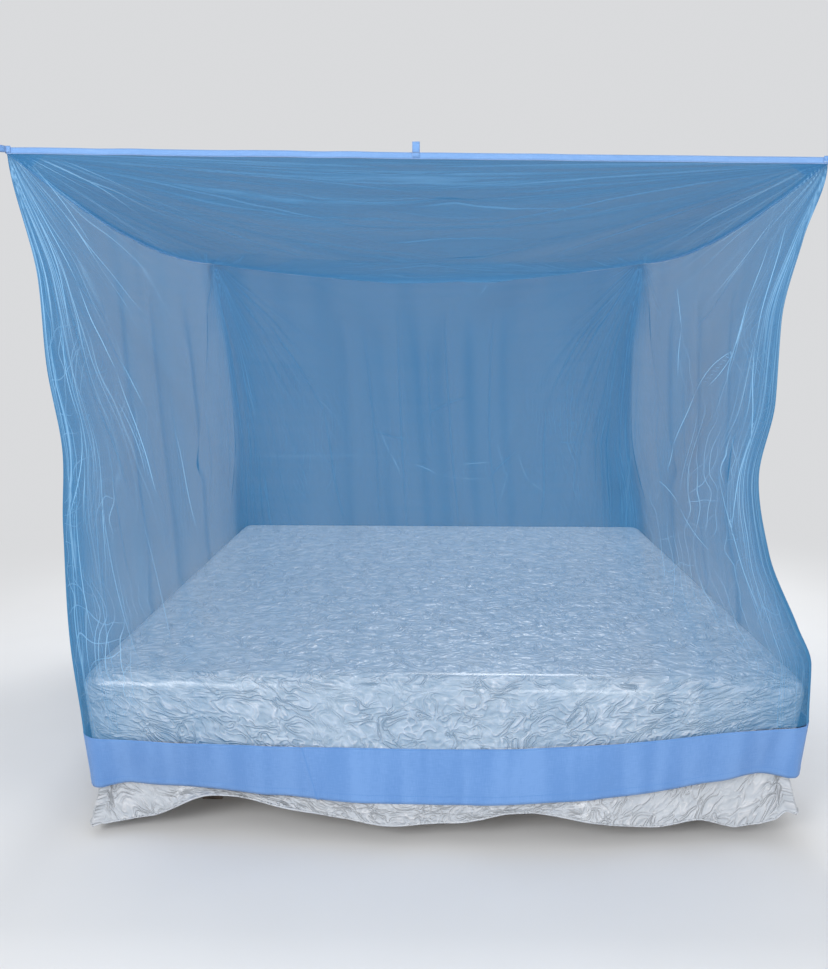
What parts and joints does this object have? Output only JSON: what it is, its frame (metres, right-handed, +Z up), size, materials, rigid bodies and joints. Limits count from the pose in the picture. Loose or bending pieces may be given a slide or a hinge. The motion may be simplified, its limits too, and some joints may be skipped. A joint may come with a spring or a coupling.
{
  "type": "mosquito net canopy and bed",
  "caption": "Rectangular netting canopy with a sagging roof, corner loops and a plain cloth border, hung over a double bed and closed round its spread.",
  "frame": {"origin": "on the floor under the bed's middle leg, which is the middle of the bed", "axes": "+X to the right seen from the foot of the bed, +Y to its head, +Z up"},
  "size_m": [2.0591, 2.1041, 1.8038],
  "materials": {
    "netting": "fine open net, matt blue",
    "border_cloth": "plain weave, matt light blue",
    "edge_tape": "woven tape, light blue",
    "satin": "quilted satin, off-white",
    "ticking": "plain ticking",
    "wood": "satin varnish"
  },
  "bodies": {
    "root": {"bed_deck": "wood", "bedspread": "satin", "border_back": "border_cloth", "border_front": "border_cloth", "border_left": "border_cloth", "border_right": "border_cloth", "leg_foot_left": "wood", "leg_foot_right": "wood", "leg_head_left": "wood", "leg_head_right": "wood", "leg_middle": "wood", "loop_back_left": "edge_tape", "loop_back_right": "edge_tape", "loop_front_left": "edge_tape", "loop_front_middle": "edge_tape", "loop_front_right": "edge_tape", "mattress": "ticking", "net_roof": "netting", "net_wall_back": "netting", "net_wall_front": "netting", "net_wall_left": "netting", "net_wall_right": "netting", "patch_back_left": "border_cloth", "patch_back_right": "border_cloth", "patch_front_left": "border_cloth", "patch_front_right": "border_cloth", "rail_foot": "wood", "rail_head": "wood", "rail_left": "wood", "rail_right": "wood", "tape_back": "edge_tape", "tape_front": "edge_tape", "tape_left": "edge_tape", "tape_right": "edge_tape"}
  },
  "joints": []
}
